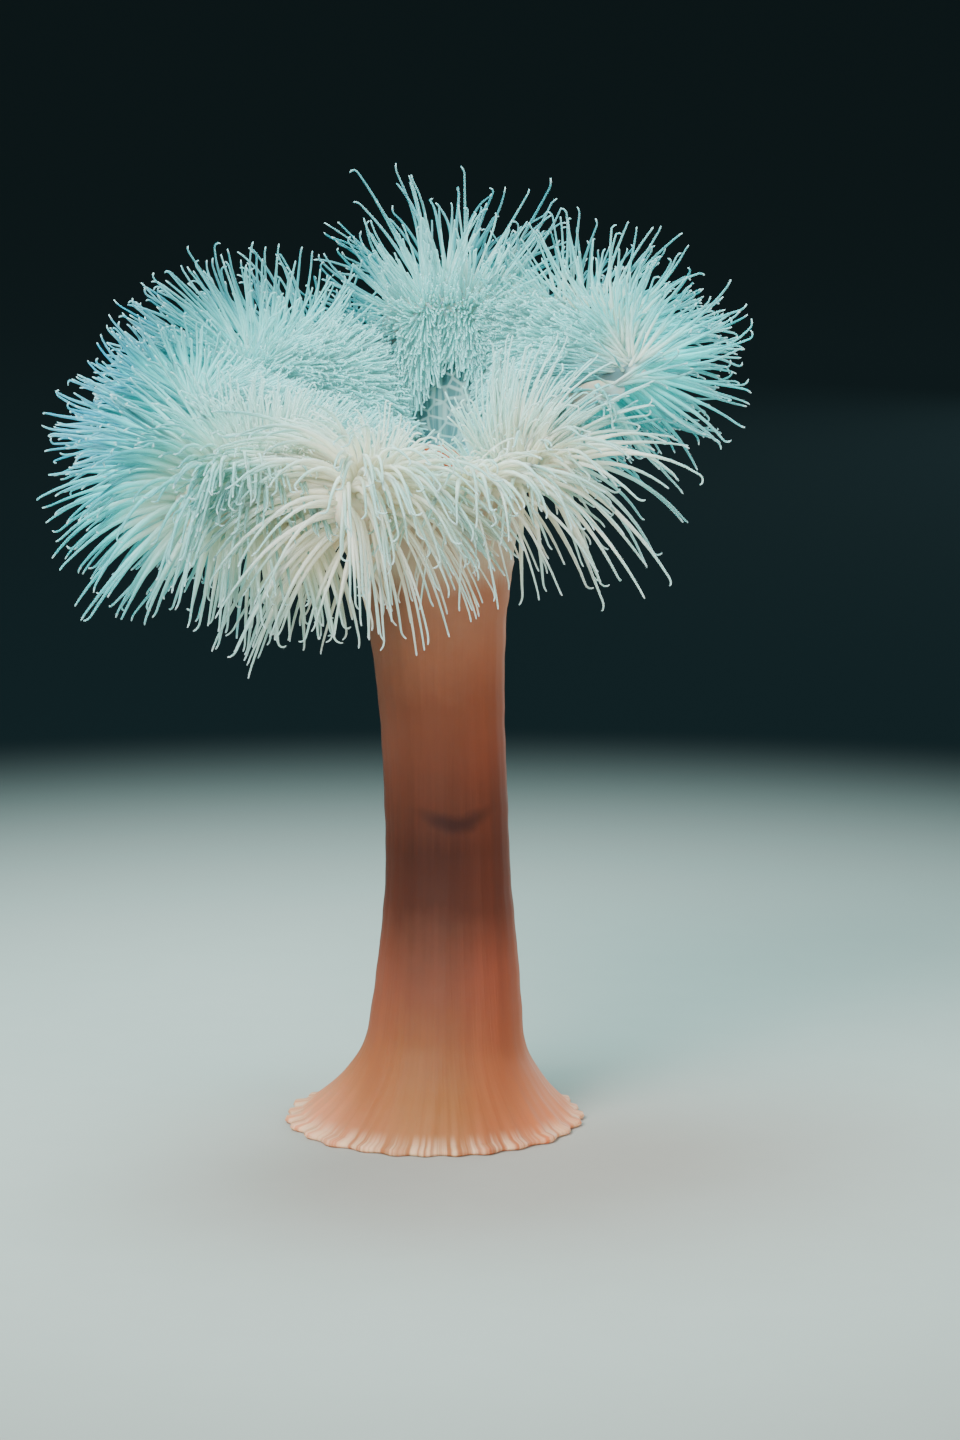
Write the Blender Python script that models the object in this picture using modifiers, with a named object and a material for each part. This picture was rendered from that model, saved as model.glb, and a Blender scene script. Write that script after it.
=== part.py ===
"""A plumose sea anemone at life size, standing on its foot, as a still display model.

The animal is a straight fleshy column on a wide flat foot with a scalloped rim. The column carries a
collar, a short neck (the capitulum) and a mouth disc whose edge is thrown into deep lobes. Hundreds of
fine feelers cover each lobe. Here a lobe is one solid: the cushion that its packed feelers fill, with
the longer feelers standing out of it. The disc leans towards the front, so the rear lobes stand higher.

The frame: metres, +Z up, the origin at the middle of the foot's flat underside, the front faces -Y.
"""

import math
import random

import bmesh
import bpy
import numpy as np

MM = 0.001
GAP = 0.3 * MM  # the thin cut between two neighbouring pieces

# Column: heights of its cuts, and the radii that shape it
FOOT_TOP = 5.5 * MM
FLARE_TOP = 17.0 * MM
LOWER_TOP = 40.0 * MM
MIDDLE_TOP = 64.0 * MM
COLUMN_TOP = 87.5 * MM
COLLAR_TOP = 91.0 * MM
NECK_TOP = 97.5 * MM
WAIST_RADIUS = 10.5 * MM
FOOT_SPREAD = 10.0 * MM  # how far the foot's flare stands out past the column's own taper
FLARE_HEIGHT = 16.0 * MM
FLARE_POWER = 1.9
TAPER_SPREAD = 4.5 * MM
TAPER_HEIGHT = 42.0 * MM
TOP_SPREAD = 1.5 * MM
TOP_START = 62.0 * MM
BOW = 2.4 * MM  # the column bows this far to the right
BOW_HEIGHT = 95.0 * MM
RIM_HEIGHT = 1.3 * MM
SCALLOPS = 27
SCALLOP_DEPTH = 0.55 * MM
COLUMN_SIDES = 24

# Mouth disc
DISC_RADIUS = 9.0 * MM
NECK_REACH = 16.0 * MM  # the neck's radius where the lobes spring from it
DISC_HEIGHT = 111.0 * MM
DISC_DISH = 1.6 * MM
THROAT_RADIUS = 3.0 * MM
THROAT_DEPTH = 7.0 * MM
LIP_RADIUS = 4.6 * MM
LIP_THICKNESS = 1.3 * MM

# Lobes: azimuth from +X, then the cushion's reach, the height of its crest and that of its belly
LOBES = {
    "lobe_right": (5.0, 43.5 * MM, 139.0 * MM, 117.0 * MM),
    "lobe_back_right": (42.0, 49.0 * MM, 144.5 * MM, 113.0 * MM),
    "lobe_back": (88.0, 47.5 * MM, 151.5 * MM, 111.0 * MM),
    "lobe_left_back": (137.0, 54.0 * MM, 138.5 * MM, 107.0 * MM),
    "lobe_left": (175.0, 56.5 * MM, 133.5 * MM, 103.0 * MM),
    "lobe_left_front": (206.0, 58.5 * MM, 122.0 * MM, 91.0 * MM),
    "lobe_front_left": (246.0, 47.0 * MM, 118.0 * MM, 90.5 * MM),
    "lobe_front": (284.0, 40.0 * MM, 116.5 * MM, 96.0 * MM),
    "lobe_front_right": (325.0, 37.0 * MM, 121.0 * MM, 99.5 * MM),
}
CLEFT_REACH = 0.82  # the cushion's reach in a fold, as a share of that of its two lobes
CLEFT_DROP = 4.5 * MM  # how far a fold lies below the two crests, and its belly above theirs
LOBE_ROUNDNESS = 0.55
SECTIONS = 7  # radial sections of one lobe

# Feelers
FEELERS_A_LOBE = 19
TRIES_A_FEELER = 12
FEELER_REACH = 9.6 * MM  # how far one stands out of the cushion
FEELER_ROOT = 0.85 * MM
FEELER_TIP = 0.36 * MM
FEELER_POINTS = 4
FEELER_SINK = 1.6 * MM
FEELER_SPACE = 2.5 * MM  # least distance between the lines of two feelers
FEELER_DROOP = 0.45  # how far a feeler on the edge sags, as a share of its reach
GOLDEN = 0.618034


def smooth(share):
    """Ease a share of 0 to 1 in and out."""
    share = min(max(share, 0.0), 1.0)
    return share * share * (3.0 - 2.0 * share)


def column_axis(height):
    """Where the column's middle line passes at a height."""
    share = min(height / BOW_HEIGHT, 1.0) ** 0.7
    return BOW * math.sin(math.pi * share)


def column_radius(height):
    """The column's radius: a waist, a long taper below it, the foot's flare and a slight swell on top."""
    radius = WAIST_RADIUS
    radius += TAPER_SPREAD * max(1.0 - height / TAPER_HEIGHT, 0.0)
    radius += FOOT_SPREAD * max(1.0 - height / FLARE_HEIGHT, 0.0) ** FLARE_POWER
    radius += TOP_SPREAD * (max(height - TOP_START, 0.0) / (COLUMN_TOP - TOP_START)) ** 2
    return radius


def new_object(name, mesh, collection, material=None):
    """Link a named object that holds a mesh."""
    thing = bpy.data.objects.new(name, mesh)
    collection.objects.link(thing)
    if material:
        mesh.materials.append(material)
    return thing


def finish_faces(made, name):
    """Turn a bmesh into a mesh with its faces pointing out and smooth sides."""
    bmesh.ops.recalc_face_normals(made, faces=made.faces)
    mesh = bpy.data.meshes.new(name)
    made.to_mesh(mesh)
    made.free()
    mesh.shade_smooth()
    mesh.set_sharp_from_angle(angle=math.radians(50.0))
    return mesh


def loft(rings, name):
    """Skin a row of rings that have the same count of points, and close both ends."""
    made = bmesh.new()
    rows = [[made.verts.new(point) for point in ring] for ring in rings]
    count = len(rows[0])
    for low, high in zip(rows, rows[1:]):
        for i in range(count):
            j = (i + 1) % count
            made.faces.new((low[i], low[j], high[j], high[i]))
    made.faces.new(reversed(rows[0]))
    made.faces.new(rows[-1])
    return finish_faces(made, name)


def ring(height, radius, sides, centre, wave=0.0):
    """A level ring of points; wave is the depth of the scallops in it."""
    points = []
    for i in range(sides):
        angle = 2.0 * math.pi * i / sides
        reach = radius + wave * math.cos(SCALLOPS * angle)
        points.append((centre + reach * math.cos(angle), reach * math.sin(angle), height))
    return points


def column_piece(name, bottom, top, rings, material, collection):
    """A length of the column between two level cuts."""
    heights = [bottom + (top - bottom) * i / rings for i in range(rings + 1)]
    made = [ring(h, column_radius(h), COLUMN_SIDES, column_axis(h)) for h in heights]
    return new_object(name, loft(made, name), collection, material)


def foot(material, collection):
    """The pedal disc: a flat sole, a thin scalloped rim and the start of the flare."""
    sides = SCALLOPS * 2
    sole = column_radius(0.0)
    made = [
        ring(0.0, sole - 1.2 * MM, sides, 0.0, SCALLOP_DEPTH * 0.6),
        ring(RIM_HEIGHT * 0.45, sole, sides, 0.0, SCALLOP_DEPTH),
        ring(RIM_HEIGHT, sole - 0.6 * MM, sides, 0.0, SCALLOP_DEPTH),
    ]
    for share in (0.35, 0.7, 1.0):
        height = RIM_HEIGHT + (FOOT_TOP - RIM_HEIGHT) * share
        wave = SCALLOP_DEPTH * (1.0 - share) * 0.8
        made.append(ring(height, column_radius(height), sides, column_axis(height), wave))
    return new_object("pedal_disc", loft(made, "pedal_disc"), collection, material)


def turned(name, profile, sides, centre, material, collection):
    """A profile of (radius, height) points turned about a vertical line with a Screw modifier."""
    mesh = bpy.data.meshes.new(name)
    points = [(radius, 0.0, height) for radius, height in profile]
    edges = [(i, i + 1) for i in range(len(points) - 1)]
    mesh.from_pydata(points, edges, [])
    thing = new_object(name, mesh, collection, material)
    thing.location = centre
    screw = thing.modifiers.new("turn", "SCREW")
    screw.axis = "Z"
    screw.steps = sides
    screw.render_steps = sides
    screw.use_merge_vertices = True
    screw.merge_threshold = 0.00005
    return thing


def collar(material, collection):
    """The parapet: a rounded ring of flesh that overhangs the column's top."""
    low, high = COLUMN_TOP + GAP, COLLAR_TOP
    base = column_radius(COLUMN_TOP)
    middle = (low + high) / 2
    profile = [
        (0.0, high),
        (base - 0.2 * MM, high),
        (base + 0.9 * MM, high - 0.7 * MM),
        (base + 1.3 * MM, middle),
        (base + 0.8 * MM, low + 0.6 * MM),
        (base - 0.1 * MM, low),
        (0.0, low),
    ]
    centre = (column_axis(COLUMN_TOP), 0.0, 0.0)
    return turned("collar", profile, COLUMN_SIDES, centre, material, collection)


def capitulum(material, collection):
    """The thin-walled neck that widens from the collar to the underside of the disc."""
    low, high = COLLAR_TOP + GAP, NECK_TOP
    base = column_radius(COLUMN_TOP) - 0.8 * MM
    profile = [(0.0, high)]
    for share in (1.0, 0.8, 0.6, 0.3, 0.0):
        profile.append((base + (NECK_REACH - base) * share**2, low + (high - low) * share))
    profile.append((0.0, low))
    centre = (column_axis(COLUMN_TOP), 0.0, 0.0)
    return turned("capitulum", profile, COLUMN_SIDES, centre, material, collection)


def oral_disc(material, collection):
    """The bare middle of the disc, dished, with the throat open at its centre."""
    low = NECK_TOP + GAP
    radius = DISC_RADIUS - GAP
    profile = [
        (0.0, DISC_HEIGHT - THROAT_DEPTH),
        (THROAT_RADIUS * 0.7, DISC_HEIGHT - THROAT_DEPTH + 0.8 * MM),
        (THROAT_RADIUS, DISC_HEIGHT - DISC_DISH - 1.5 * MM),
        (THROAT_RADIUS + 0.5 * MM, DISC_HEIGHT - DISC_DISH),
        (LIP_RADIUS + LIP_THICKNESS, DISC_HEIGHT - DISC_DISH * 0.6),
        (radius - 0.6 * MM, DISC_HEIGHT),
        (radius, DISC_HEIGHT - 0.6 * MM),
        (radius, low),
        (0.0, low),
    ]
    return turned("oral_disc", profile, 20, (0.0, 0.0, 0.0), material, collection)


def mouth(material, collection):
    """The lips: a soft ring, longer than it is wide, lying on the disc about the throat."""
    bpy.ops.mesh.primitive_torus_add(
        major_segments=18,
        minor_segments=8,
        major_radius=LIP_RADIUS,
        minor_radius=LIP_THICKNESS,
        location=(0.0, 0.0, DISC_HEIGHT + LIP_THICKNESS),
    )
    lips = bpy.context.object
    lips.name = "mouth"
    lips.data.name = "mouth"
    for vertex in lips.data.vertices:
        vertex.co.y *= 0.8
        vertex.co.z += 0.35 * MM * math.cos(9.0 * math.atan2(vertex.co.y, vertex.co.x))
    for owner in list(lips.users_collection):
        owner.objects.unlink(lips)
    collection.objects.link(lips)
    lips.data.materials.append(material)
    lips.data.shade_smooth()
    return lips


class Crown:
    """The cushion's surface as a function of the azimuth and of the way round a radial section."""

    def __init__(self):
        self.names = list(LOBES)
        self.azimuths = [LOBES[name][0] for name in self.names]

    def clefts(self, name):
        """The azimuths of the folds on both sides of a lobe, in degrees."""
        i = self.names.index(name)
        here = self.azimuths[i]
        before = self.azimuths[i - 1] - (360.0 if i == 0 else 0.0)
        after = self.azimuths[(i + 1) % len(self.names)] + (360.0 if i == len(self.names) - 1 else 0.0)
        return (before + here) / 2, (here + after) / 2

    def shape(self, name, azimuth):
        """(reach, crest height, belly height) of a lobe at an azimuth in degrees inside its clefts."""
        middle, *here = LOBES[name]
        before, after = self.clefts(name)
        half = (after - middle) if azimuth > middle else (middle - before)
        swell = max(1.0 - ((azimuth - middle) / half) ** 2, 0.0) ** LOBE_ROUNDNESS
        i = self.names.index(name)
        beside = LOBES[self.names[(i + (1 if azimuth > middle else -1)) % len(self.names)]][1:]
        reach, crest, belly = ((a + b) / 2 for a, b in zip(here, beside))
        fold = (reach * CLEFT_REACH, crest - CLEFT_DROP, belly + CLEFT_DROP)
        return tuple(low + (high - low) * swell for low, high in zip(fold, here))

    def section(self, name, azimuth):
        """The closed outline (radius, height) of a lobe cut by the vertical plane at an azimuth."""
        reach, crest, belly = self.shape(name, azimuth)
        deep = crest - belly
        floor = NECK_TOP + GAP
        rise = max(crest - DISC_HEIGHT, 0.0)
        return [
            (DISC_RADIUS, floor),
            (NECK_REACH, floor),
            (reach * 0.58, floor + (belly - floor) * 0.8),
            (reach * 0.84, belly + deep * 0.04),
            (reach * 0.98, belly + deep * 0.28),
            (reach, belly + deep * 0.54),
            (reach * 0.91, belly + deep * 0.84),
            (reach * 0.71, crest),
            (reach * 0.44, crest - rise * 0.22 - 0.6 * MM),
            (DISC_RADIUS, DISC_HEIGHT + rise * 0.25),
        ]

    def point(self, name, azimuth, along):
        """A point of the cushion's outer side; along runs from 0 at the disc to 1 under the edge."""
        outline = self.section(name, azimuth)[:1:-1]
        place = along * (len(outline) - 2)
        i = min(int(place), len(outline) - 2)
        share = place - i
        radius = outline[i][0] + (outline[i + 1][0] - outline[i][0]) * share
        height = outline[i][1] + (outline[i + 1][1] - outline[i][1]) * share
        angle = math.radians(azimuth)
        return np.array((radius * math.cos(angle), radius * math.sin(angle), height))

    def normal(self, name, azimuth, along):
        """The outward direction of the cushion at a place, smoothed over its facets."""
        turn, step = 1.5, 0.09
        before, after = self.clefts(name)
        low, high = max(azimuth - turn, before + 0.2), min(azimuth + turn, after - 0.2)
        sideways = self.point(name, high, along) - self.point(name, low, along)
        a, b = max(along - step, 0.0), min(along + step, 1.0)
        outward = self.point(name, azimuth, b) - self.point(name, azimuth, a)
        facing = np.cross(outward, sideways)
        return facing / np.linalg.norm(facing)


def clear_of_clefts(crown, name, points, room):
    """Whether a line of points keeps off the two planes that part a lobe from its neighbours."""
    before, after = (math.radians(a) for a in crown.clefts(name))
    first = points @ np.array((-math.sin(before), math.cos(before), 0.0))
    second = points @ np.array((math.sin(after), -math.cos(after), 0.0))
    return first.min() > room and second.min() > room


def least_distance(line, other):
    """The least distance between the points of two lines."""
    return np.linalg.norm(line[:, None] - other[None], axis=2).min()


def feeler_line(root, facing, sideways, reach, droop, curl):
    """The middle line of a feeler: straight out of the cushion, then easing over and curling."""
    points = []
    for i in range(FEELER_POINTS):
        share = i / (FEELER_POINTS - 1)
        along = -FEELER_SINK + (reach + FEELER_SINK) * share
        sag = droop * reach * share * share
        swing = curl * reach * share**3
        points.append(root + facing * along + sideways * swing - np.array((0.0, 0.0, sag)))
    return np.array(points)


def feeler_lines(crown, name, chance):
    """The middle lines of a lobe's feelers, spread evenly over its outer side."""
    before, after = crown.clefts(name)
    lines = []
    for attempt in range(FEELERS_A_LOBE * TRIES_A_FEELER):
        if len(lines) == FEELERS_A_LOBE:
            break
        across = (attempt * GOLDEN + 0.5) % 1.0
        along = 0.13 + (0.82 * (attempt + 0.5) / FEELERS_A_LOBE) % 0.82
        azimuth = before + (after - before) * (0.08 + 0.84 * across)
        root = crown.point(name, azimuth, along)
        facing = crown.normal(name, azimuth, along)
        radial = np.array((math.cos(math.radians(azimuth)), math.sin(math.radians(azimuth)), 0.0))
        tangent = np.array((-radial[1], radial[0], 0.0))
        reach = FEELER_REACH * chance.uniform(0.85, 1.08)
        droop = FEELER_DROOP * smooth((along - 0.3) / 0.6) * chance.uniform(0.6, 1.3)
        curl = chance.uniform(-0.22, 0.22)
        for keep in (1.0, 0.7, 0.4, 0.1):
            turned_in = facing + radial * 0.2 - tangent * float(facing @ tangent) * (1.0 - keep)
            turned_in /= np.linalg.norm(turned_in)
            line = feeler_line(root, turned_in, tangent, reach, droop, curl * keep)
            apart = min((least_distance(line, other) for other in lines), default=1.0)
            if clear_of_clefts(crown, name, line, FEELER_ROOT + GAP) and apart > FEELER_SPACE:
                lines.append(line)
                break
    return lines


def feelers(lines, name, collection):
    """Tapered tubes along the lines, as one closed mesh that a Boolean can join."""
    curve = bpy.data.curves.new(name, "CURVE")
    curve.dimensions = "3D"
    curve.bevel_depth = FEELER_ROOT
    curve.bevel_resolution = 0
    curve.use_fill_caps = True
    for line in lines:
        spline = curve.splines.new("POLY")
        spline.points.add(len(line) - 1)
        for i, (point, place) in enumerate(zip(spline.points, line)):
            share = i / (len(line) - 1)
            point.co = (*place, 1.0)
            point.radius = 1.0 + (FEELER_TIP / FEELER_ROOT - 1.0) * share**1.3
    guide = bpy.data.objects.new(name + "_curve", curve)
    collection.objects.link(guide)
    bpy.context.view_layer.update()
    graph = bpy.context.evaluated_depsgraph_get()
    mesh = bpy.data.meshes.new_from_object(guide.evaluated_get(graph))
    made = bmesh.new()
    made.from_mesh(mesh)
    bmesh.ops.remove_doubles(made, verts=made.verts, dist=0.00001)
    bmesh.ops.recalc_face_normals(made, faces=made.faces)
    made.to_mesh(mesh)
    made.free()
    bpy.data.objects.remove(guide)
    tubes = new_object(name + "_feelers", mesh, collection)
    tubes.hide_render = True
    tubes.display_type = "WIRE"
    return tubes


def lobe(crown, name, chance, material, collection, helpers):
    """One lobe: its cushion lofted from fold to fold, joined to the feelers that stand out of it."""
    before, after = crown.clefts(name)
    rows = []
    for i in range(SECTIONS):
        share = 0.5 - 0.5 * math.cos(math.pi * i / (SECTIONS - 1))
        azimuth = before + (after - before) * share
        angle = math.radians(azimuth)
        side = (1.0 if i == 0 else -1.0 if i == SECTIONS - 1 else 0.0) * GAP / 2
        row = []
        for radius, height in crown.section(name, azimuth):
            x = radius * math.cos(angle) - side * math.sin(angle)
            y = radius * math.sin(angle) + side * math.cos(angle)
            row.append((x, y, height))
        rows.append(row)
    body = new_object(name, loft(rows, name), collection, material)
    tubes = feelers(feeler_lines(crown, name, chance), name, helpers)
    join = body.modifiers.new("feelers", "BOOLEAN")
    join.operation = "UNION"
    join.solver = "EXACT"
    join.object = tubes
    return body


def finish_of(name, colour, roughness):
    """A plain Principled material."""
    material = bpy.data.materials.new(name)
    material.use_nodes = True
    shader = material.node_tree.nodes["Principled BSDF"]
    shader.inputs["Base Color"].default_value = (*colour, 1.0)
    shader.inputs["Roughness"].default_value = roughness
    shader.inputs["Metallic"].default_value = 0.0
    return material


def main():
    for thing in list(bpy.data.objects):
        bpy.data.objects.remove(thing)
    pieces = bpy.data.collections.new("sea_anemone")
    helpers = bpy.data.collections.new("helpers")
    bpy.context.scene.collection.children.link(pieces)
    bpy.context.scene.collection.children.link(helpers)

    foot_flesh = finish_of("foot_flesh", (0.72, 0.33, 0.20), 0.42)
    column_flesh = finish_of("column_flesh", (0.56, 0.20, 0.11), 0.42)
    dark_flesh = finish_of("dark_flesh", (0.33, 0.11, 0.07), 0.42)
    disc_flesh = finish_of("disc_flesh", (0.62, 0.66, 0.64), 0.35)
    lip_flesh = finish_of("lip_flesh", (0.80, 0.36, 0.20), 0.35)
    feeler_flesh = finish_of("feeler_flesh", (0.78, 0.84, 0.80), 0.38)

    foot(foot_flesh, pieces)
    column_piece("column_flare", FOOT_TOP + GAP, FLARE_TOP, 5, foot_flesh, pieces)
    column_piece("column_lower", FLARE_TOP + GAP, LOWER_TOP, 4, column_flesh, pieces)
    column_piece("column_middle", LOWER_TOP + GAP, MIDDLE_TOP, 3, dark_flesh, pieces)
    column_piece("column_upper", MIDDLE_TOP + GAP, COLUMN_TOP, 4, column_flesh, pieces)
    collar(column_flesh, pieces)
    capitulum(column_flesh, pieces)
    oral_disc(disc_flesh, pieces)
    mouth(lip_flesh, pieces)

    crown = Crown()
    chance = random.Random(11)
    for name in LOBES:
        lobe(crown, name, chance, feeler_flesh, pieces, helpers)


main()
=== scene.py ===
"""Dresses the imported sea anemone: one skin over its whole body, and thousands of fine feelers on the disc."""

import math
from types import SimpleNamespace

import bpy
import numpy as np
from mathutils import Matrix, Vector


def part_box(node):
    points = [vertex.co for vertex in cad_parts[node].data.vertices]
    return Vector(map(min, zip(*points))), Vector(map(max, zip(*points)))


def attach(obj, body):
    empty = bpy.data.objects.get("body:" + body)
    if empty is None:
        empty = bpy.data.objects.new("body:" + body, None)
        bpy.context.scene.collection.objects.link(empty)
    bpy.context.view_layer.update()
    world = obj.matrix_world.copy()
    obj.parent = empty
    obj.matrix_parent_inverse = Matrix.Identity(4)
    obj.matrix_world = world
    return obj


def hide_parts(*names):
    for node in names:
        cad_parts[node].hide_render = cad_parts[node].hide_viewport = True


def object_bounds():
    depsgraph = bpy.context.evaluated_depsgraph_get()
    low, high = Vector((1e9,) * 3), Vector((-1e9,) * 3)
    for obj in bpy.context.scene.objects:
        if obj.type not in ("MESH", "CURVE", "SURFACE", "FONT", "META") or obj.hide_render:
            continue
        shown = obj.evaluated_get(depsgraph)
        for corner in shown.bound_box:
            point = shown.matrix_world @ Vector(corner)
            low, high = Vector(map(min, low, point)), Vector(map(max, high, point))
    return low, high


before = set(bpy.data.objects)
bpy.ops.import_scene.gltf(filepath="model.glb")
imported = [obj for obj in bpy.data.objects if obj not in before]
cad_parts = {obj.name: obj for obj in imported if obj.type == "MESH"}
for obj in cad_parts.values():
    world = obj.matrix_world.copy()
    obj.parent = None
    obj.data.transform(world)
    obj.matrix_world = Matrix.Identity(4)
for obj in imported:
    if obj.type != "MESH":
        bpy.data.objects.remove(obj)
cad_low, cad_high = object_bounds()

MM = 0.001
CHANCE = np.random.default_rng(23)


# -------- falling off

def ease(share):
    """Ease an array of shares of 0 to 1 in and out."""
    share = np.clip(share, 0.0, 1.0)
    return share * share * (3.0 - 2.0 * share)


def bell(away, half, power=2):
    """1 where away is 0, falling off on both sides."""
    return np.exp(-((away / half) ** power))


def wrap(turn):
    """Azimuths counted from -180 to 180 degrees."""
    return (turn + 180.0) % 360.0 - 180.0


def patch(middle, half, amount=1.0, power=2, start=-1.0, grow=0.1, stop=2.0, fade=0.1):
    """One patch of the coat, as a function of azimuth and share that gives an amount.

    Its middle and half width are in degrees, and a middle below 0 counts azimuths from -180. The share goes
    from 0 at the edge's underside to 1 at the bare disc: the amount grows in from start and fades from stop.
    """
    def strength(turn, share):
        away = (wrap(turn) if middle < 0.0 else turn) - middle
        inwards = ease((share - start) / grow) * (1.0 - ease((share - stop) / fade))
        return amount * bell(away, half, power) * inwards

    return strength


def strongest(patches, turn, share):
    """The largest amount of some patches."""
    return np.maximum.reduce([strength(turn, share) for strength in patches])


# -------- sizes

# Body: the same driving sizes as the solids
FOOT_RADIUS = (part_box("pedal_disc")[1].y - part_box("pedal_disc")[0].y) / 2
COLUMN_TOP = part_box("column_upper")[1].z
COLLAR_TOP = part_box("collar")[1].z
NECK_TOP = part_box("capitulum")[1].z
DISC_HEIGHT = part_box("oral_disc")[1].z
WAIST_RADIUS = 10.5 * MM
FOOT_SPREAD = 10.0 * MM
FLARE_HEIGHT = 16.0 * MM
FLARE_POWER = 1.9
TAPER_SPREAD = 4.5 * MM
TAPER_HEIGHT = 42.0 * MM
TAPER_SOFT = 0.12  # rounds the taper's end, a little inside the solids
TOP_SPREAD = 1.5 * MM
TOP_START = 62.0 * MM
BOW = 2.4 * MM
BOW_HEIGHT = 95.0 * MM

# Foot: its sole lies a little inside the solid's edge, which is scalloped
SOLE_RADIUS = FOOT_RADIUS - 0.7 * MM
SOLE_RINGS = (0.02, 0.3, 0.6, 0.8, 0.9, 0.955)
# Round the foot's edge: how far out and how high, then how far the scallops move each, in millimetres
EDGE_RINGS = (
    (-0.35, 0.12, 0.45, 0.0),
    (0.0, 0.5, 0.45, 0.0),
    (-0.25, 1.0, 0.42, 0.15),
)
SCALLOP_DEPTH = 0.40 * MM
RIDGE_DEPTH = 0.30 * MM
SCALLOP_HEIGHT = 3.2 * MM  # how fast scallops and ridges die out up the column
COLUMN_START = 1.5  # millimetres above the floor
COLUMN_GAP = 0.6  # millimetres kept free under the collar
COLUMN_ROWS = 110
ROWS_POWER = 1.35  # more rows near the foot
FURROW_DEPTH = 0.03 * MM
WAVE_DEPTH = 0.06 * MM

# Collar: how far out of the column's top, and how far above it, in millimetres
COLLAR_RINGS = (
    (0.05, 0.0), (0.20, 0.6), (0.33, 1.3), (0.40, 1.9),
    (0.44, 2.6), (0.50, 3.3), (0.58, 3.9), (0.70, 4.5),
)
NECK_RADIUS = 13.2 * MM  # at its top
NECK_FOOT = 0.7 * MM  # how far out of the column's top the neck starts
NECK_GAP = (1.6 * MM, 1.5 * MM)  # kept free above the collar and under the neck's top
NECK_RINGS = (0.25, 0.5, 0.75)
NECK_POWER = 1.3

# Lobes: azimuth in degrees, then the cushion's reach, its crest and its belly, as in the solids
LOBES = {
    "lobe_right": (5.0, 43.5 * MM, 139.0 * MM, 117.0 * MM),
    "lobe_back_right": (42.0, 49.0 * MM, 144.5 * MM, 113.0 * MM),
    "lobe_back": (88.0, 47.5 * MM, 151.5 * MM, 111.0 * MM),
    "lobe_left_back": (137.0, 54.0 * MM, 138.5 * MM, 107.0 * MM),
    "lobe_left": (175.0, 56.5 * MM, 133.5 * MM, 103.0 * MM),
    "lobe_left_front": (206.0, 58.5 * MM, 122.0 * MM, 91.0 * MM),
    "lobe_front_left": (246.0, 47.0 * MM, 118.0 * MM, 90.5 * MM),
    "lobe_front": (284.0, 40.0 * MM, 116.5 * MM, 96.0 * MM),
    "lobe_front_right": (325.0, 37.0 * MM, 121.0 * MM, 99.5 * MM),
}
LOBE_MIDDLES = np.array([row[0] for row in LOBES.values()])
LOBE_SIZES = np.array([row[1:] for row in LOBES.values()])
NEXT_MIDDLES = np.append(LOBE_MIDDLES[1:], LOBE_MIDDLES[0] + 360.0)
FOLD_TURNS = (LOBE_MIDDLES + NEXT_MIDDLES) / 2  # the fold after each lobe
# How far the skin lies inside the cushion of packed feelers: at the edge, the crest and the belly
BACK_DEPTH = np.array((8.5, 11.0, -8.0)) * MM
FRONT_DEPTH = np.array((12.5, 4.5, -13.0)) * MM
FOLD_REACH = 0.60
FOLD_DROP = 9.0 * MM
# After each lobe, how deep the fold is, and how wide its shade, in degrees; then where each lobe's crest lies
FOLDS = np.array((0.15, 0.5, 0.9, 0.35, 0.95, 1.0, 1.0, 0.45, 0.9))
CLEFT_WIDTHS = np.array((6.0, 6.0, 9.0, 6.0, 4.5, 7.0, 6.0, 6.0, 11.0))
CRESTS = np.array((0.96, 0.94, 0.84, 0.86, 0.84, 0.80, 0.76, 0.76, 0.80))
SWELL_POWERS = (0.6, 0.7)  # how full a lobe is between its folds, and how much less in front
LOBE_BLUR = 4.0  # degrees
RUFFLES = 41
RUFFLE_DEPTH = 1.1 * MM

# From the disc over the lips into the throat: radius and drop in millimetres, and how pleated it is
THROAT = (
    (7.2, 0.5, 0.0),
    (5.8, 0.9, 0.3),
    (5.0, -0.5, 0.8),
    (4.0, -0.7, 1.0),
    (3.0, 0.8, 1.2),
    (2.5, 4.0, 1.2),
    (1.6, 7.0, 0.8),
    (0.2, 7.6, 0.0),
)
PLEATS = (0.22, 0.25)  # how far a full pleat reaches out and up, in millimetres

# Skin grid
AROUND = 300
TURNS = np.arange(AROUND) * 360.0 / AROUND
SPAN = 10  # rows between two control rings of the crown
COAT_FROM, COAT_TO = 2.6, 9.75  # the control rings between which feelers grow
BARE_RADIUS = 9.5 * MM
DISC_LEAN = 0.50  # rise of the disc towards the back, for each unit of depth
MAP_EDGE, MAP_SIZE = 0.005, 0.99  # margin and size of the skin on its baking map

# Feelers
FEELERS = 11000
GOLDEN = 0.6180339887  # spreads the places in a row evenly
JITTER = 0.004  # and this stirs them a little, as a share of the way round
SIDES = 6
STEPS = 9  # lengths of a feeler before its hook
HOOK_STEPS = 5
HOOK_FROM = 0.92
INNER_STEPS = np.array((0, 2, 4, 6, 8, 10, 12, 13))  # the rings that are kept of a short inner feeler
FEELER_RADIUS = 0.40 * MM
FRONT_EXTRA = 0.21 * MM  # the feelers of the low front lobes are stouter
TIP_RADIUS = 0.14 * MM
TIP_END = 0.7  # rounds the tip off
GIRTH_RANGE = (0.85, 1.15)
ROOT_DEPTH = 0.6 * MM  # how far a feeler starts inside the skin
MAP_PATCH = 0.003  # width of one feeler's patch on the baking map
LOBE_SPREAD = 56.0  # degrees of a lobe across its baking map
COAT_MAP = 0.98  # size of the coat on that map
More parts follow.
